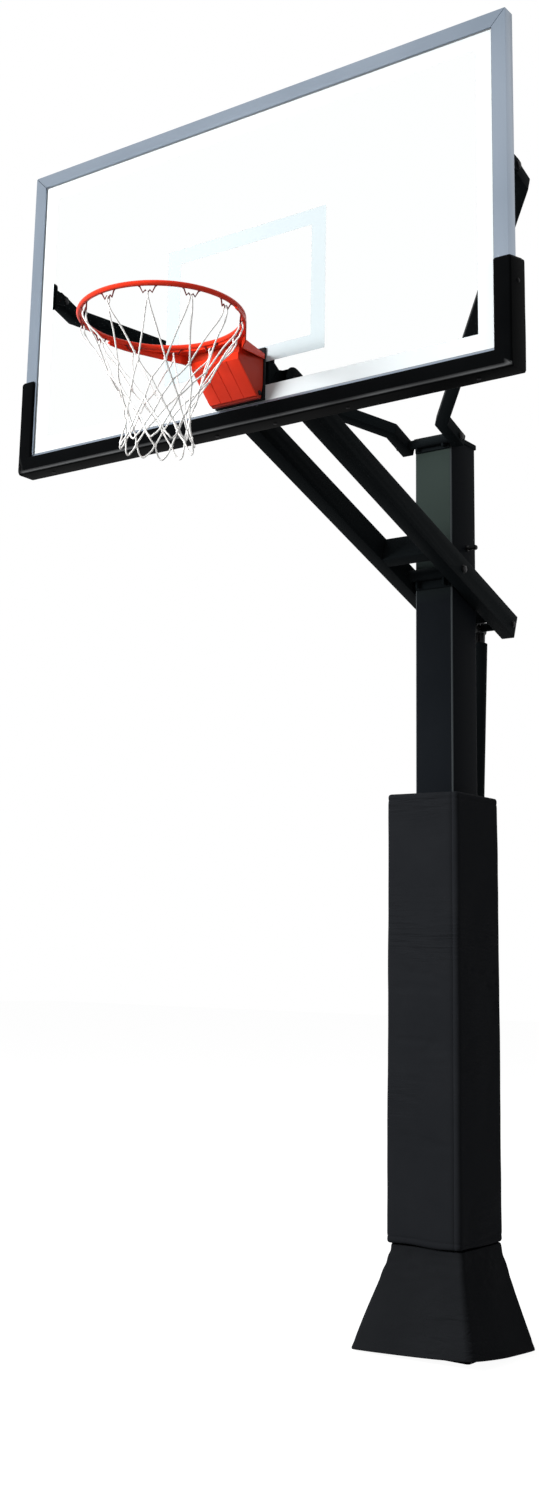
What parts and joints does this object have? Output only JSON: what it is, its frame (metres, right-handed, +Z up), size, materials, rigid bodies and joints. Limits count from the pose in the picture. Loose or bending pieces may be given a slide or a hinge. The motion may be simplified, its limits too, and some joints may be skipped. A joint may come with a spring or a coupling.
{
  "type": "adjustable basketball goal with padded backboard",
  "caption": "In-ground basketball goal: padded glass board on a parallelogram lift, breakaway ring with net, padded post.",
  "frame": {"origin": "middle of the underside of the base plate, on the ground", "axes": "+Z up, the board's front faces -Y, +X to the right of a player who faces the board"},
  "size_m": [1.8558, 2.1914, 3.903],
  "materials": {
    "black_powder_coat": "satin black powder coat",
    "zinc_plated_steel": "zinc plated",
    "black_plated_steel": "black plated",
    "satin_aluminium": "satin anodised, blue-grey",
    "grey_seal": "matte",
    "clear_glass": "clear tempered glass with a white painted border",
    "moulded_black_foam": "satin moulded skin",
    "black_plastic": "matte",
    "red_powder_coat": "semi-gloss powder coat",
    "red_powder_coat_folded": "semi-gloss powder coat",
    "white_cord": "braided cord",
    "charcoal_vinyl": "coated vinyl over foam",
    "black_webbing": "woven webbing"
  },
  "bodies": {
    "post": {"base_plate": "black_powder_coat", "post_tube": "black_powder_coat", "post_cap": "black_powder_coat", "lower_pivot_bracket": "black_powder_coat", "upper_pivot_bracket": "black_powder_coat", "main_pivot_bolt": "black_plated_steel", "upper_pivot_bolt": "black_plated_steel", "post_cross_bolt": "black_plated_steel", "actuator_tube": "black_powder_coat", "actuator_bracket": "black_powder_coat", "actuator_lower_pin": "black_plated_steel", "post_pad": "charcoal_vinyl", "post_pad_foot": "charcoal_vinyl", "pad_strap_1": "black_webbing", "pad_strap_2": "black_webbing"},
    "lower_arms": {"lower_arm_left": "black_powder_coat", "lower_arm_right": "black_powder_coat", "arm_cross_tube": "black_powder_coat", "tail_cross_plate": "black_powder_coat", "tail_pin": "black_plated_steel"},
    "upper_arms": {"upper_arm_left": "black_powder_coat", "upper_arm_right": "black_powder_coat"},
    "board": {"frame_top_rail": "satin_aluminium", "frame_bottom_rail": "satin_aluminium", "frame_left_rail": "satin_aluminium", "frame_right_rail": "satin_aluminium", "frame_seal": "grey_seal", "glass_pane": "clear_glass", "rim_mount_bracket": "black_powder_coat", "board_pivot_bolt": "black_plated_steel", "rim_bolt_1": "black_plated_steel", "rim_bolt_2": "black_plated_steel", "rim_bolt_3": "black_plated_steel", "rim_bolt_4": "black_plated_steel", "arm_end_bracket_left": "black_powder_coat", "arm_end_bracket_right": "black_powder_coat", "arm_end_pin_left": "black_plated_steel", "arm_end_pin_right": "black_plated_steel", "backboard_pad": "moulded_black_foam", "pad_rivet_1": "black_plastic", "pad_rivet_2": "black_plastic", "pad_rivet_3": "black_plastic", "pad_rivet_4": "black_plastic", "pad_rivet_5": "black_plastic", "pad_rivet_6": "black_plastic", "pad_rivet_7": "black_plastic", "pad_rivet_8": "black_plastic", "rim_base_plate": "black_plastic", "rim_hinge_pin": "black_plated_steel", "rim_hinge_spring": "zinc_plated_steel"},
    "rim": {"rim_housing": "red_powder_coat_folded", "rim_cover": "red_powder_coat", "rim_flange_plate": "red_powder_coat", "rim_ring": "red_powder_coat", "net": "white_cord"},
    "actuator_rod": {"actuator_rod": "black_plated_steel"}
  },
  "joints": [
    {"name": "lift", "type": "hinge", "parent": "post", "child": "lower_arms", "pos_m": [0, -0.112, 2.6], "axis": [1, 0, 0], "range_deg": [0, 39.8]},
    {"name": "upper_lift", "type": "hinge", "parent": "post", "child": "upper_arms", "pos_m": [0, -0.112, 3.095], "axis": [1, 0, 0], "range_deg": [0, 39.8]},
    {"name": "board_level", "type": "hinge", "parent": "lower_arms", "child": "board", "pos_m": [0, -1.165, 2.968], "axis": [1, 0, 0], "range_deg": [-39.8, 0]},
    {"name": "rim_breakaway", "type": "hinge", "parent": "board", "child": "rim", "pos_m": [0, -1.2838, 2.904], "axis": [1, 0, 0], "range_deg": [0, 25], "stiffness_Nm_per_rad": 600, "springref_deg": -34.38},
    {"name": "actuator_slide", "type": "slide", "parent": "post", "child": "actuator_rod", "axis": [0, 0.061, 0.9981], "range_m": [0, 0.2682]}
  ],
  "couplings": [
    {"joint": "upper_lift", "follows": "lift", "ratio": 1},
    {"joint": "board_level", "follows": "lift", "ratio": -1},
    {"joint": "actuator_slide", "follows": "lift", "m_per_rad": 0.386}
  ]
}
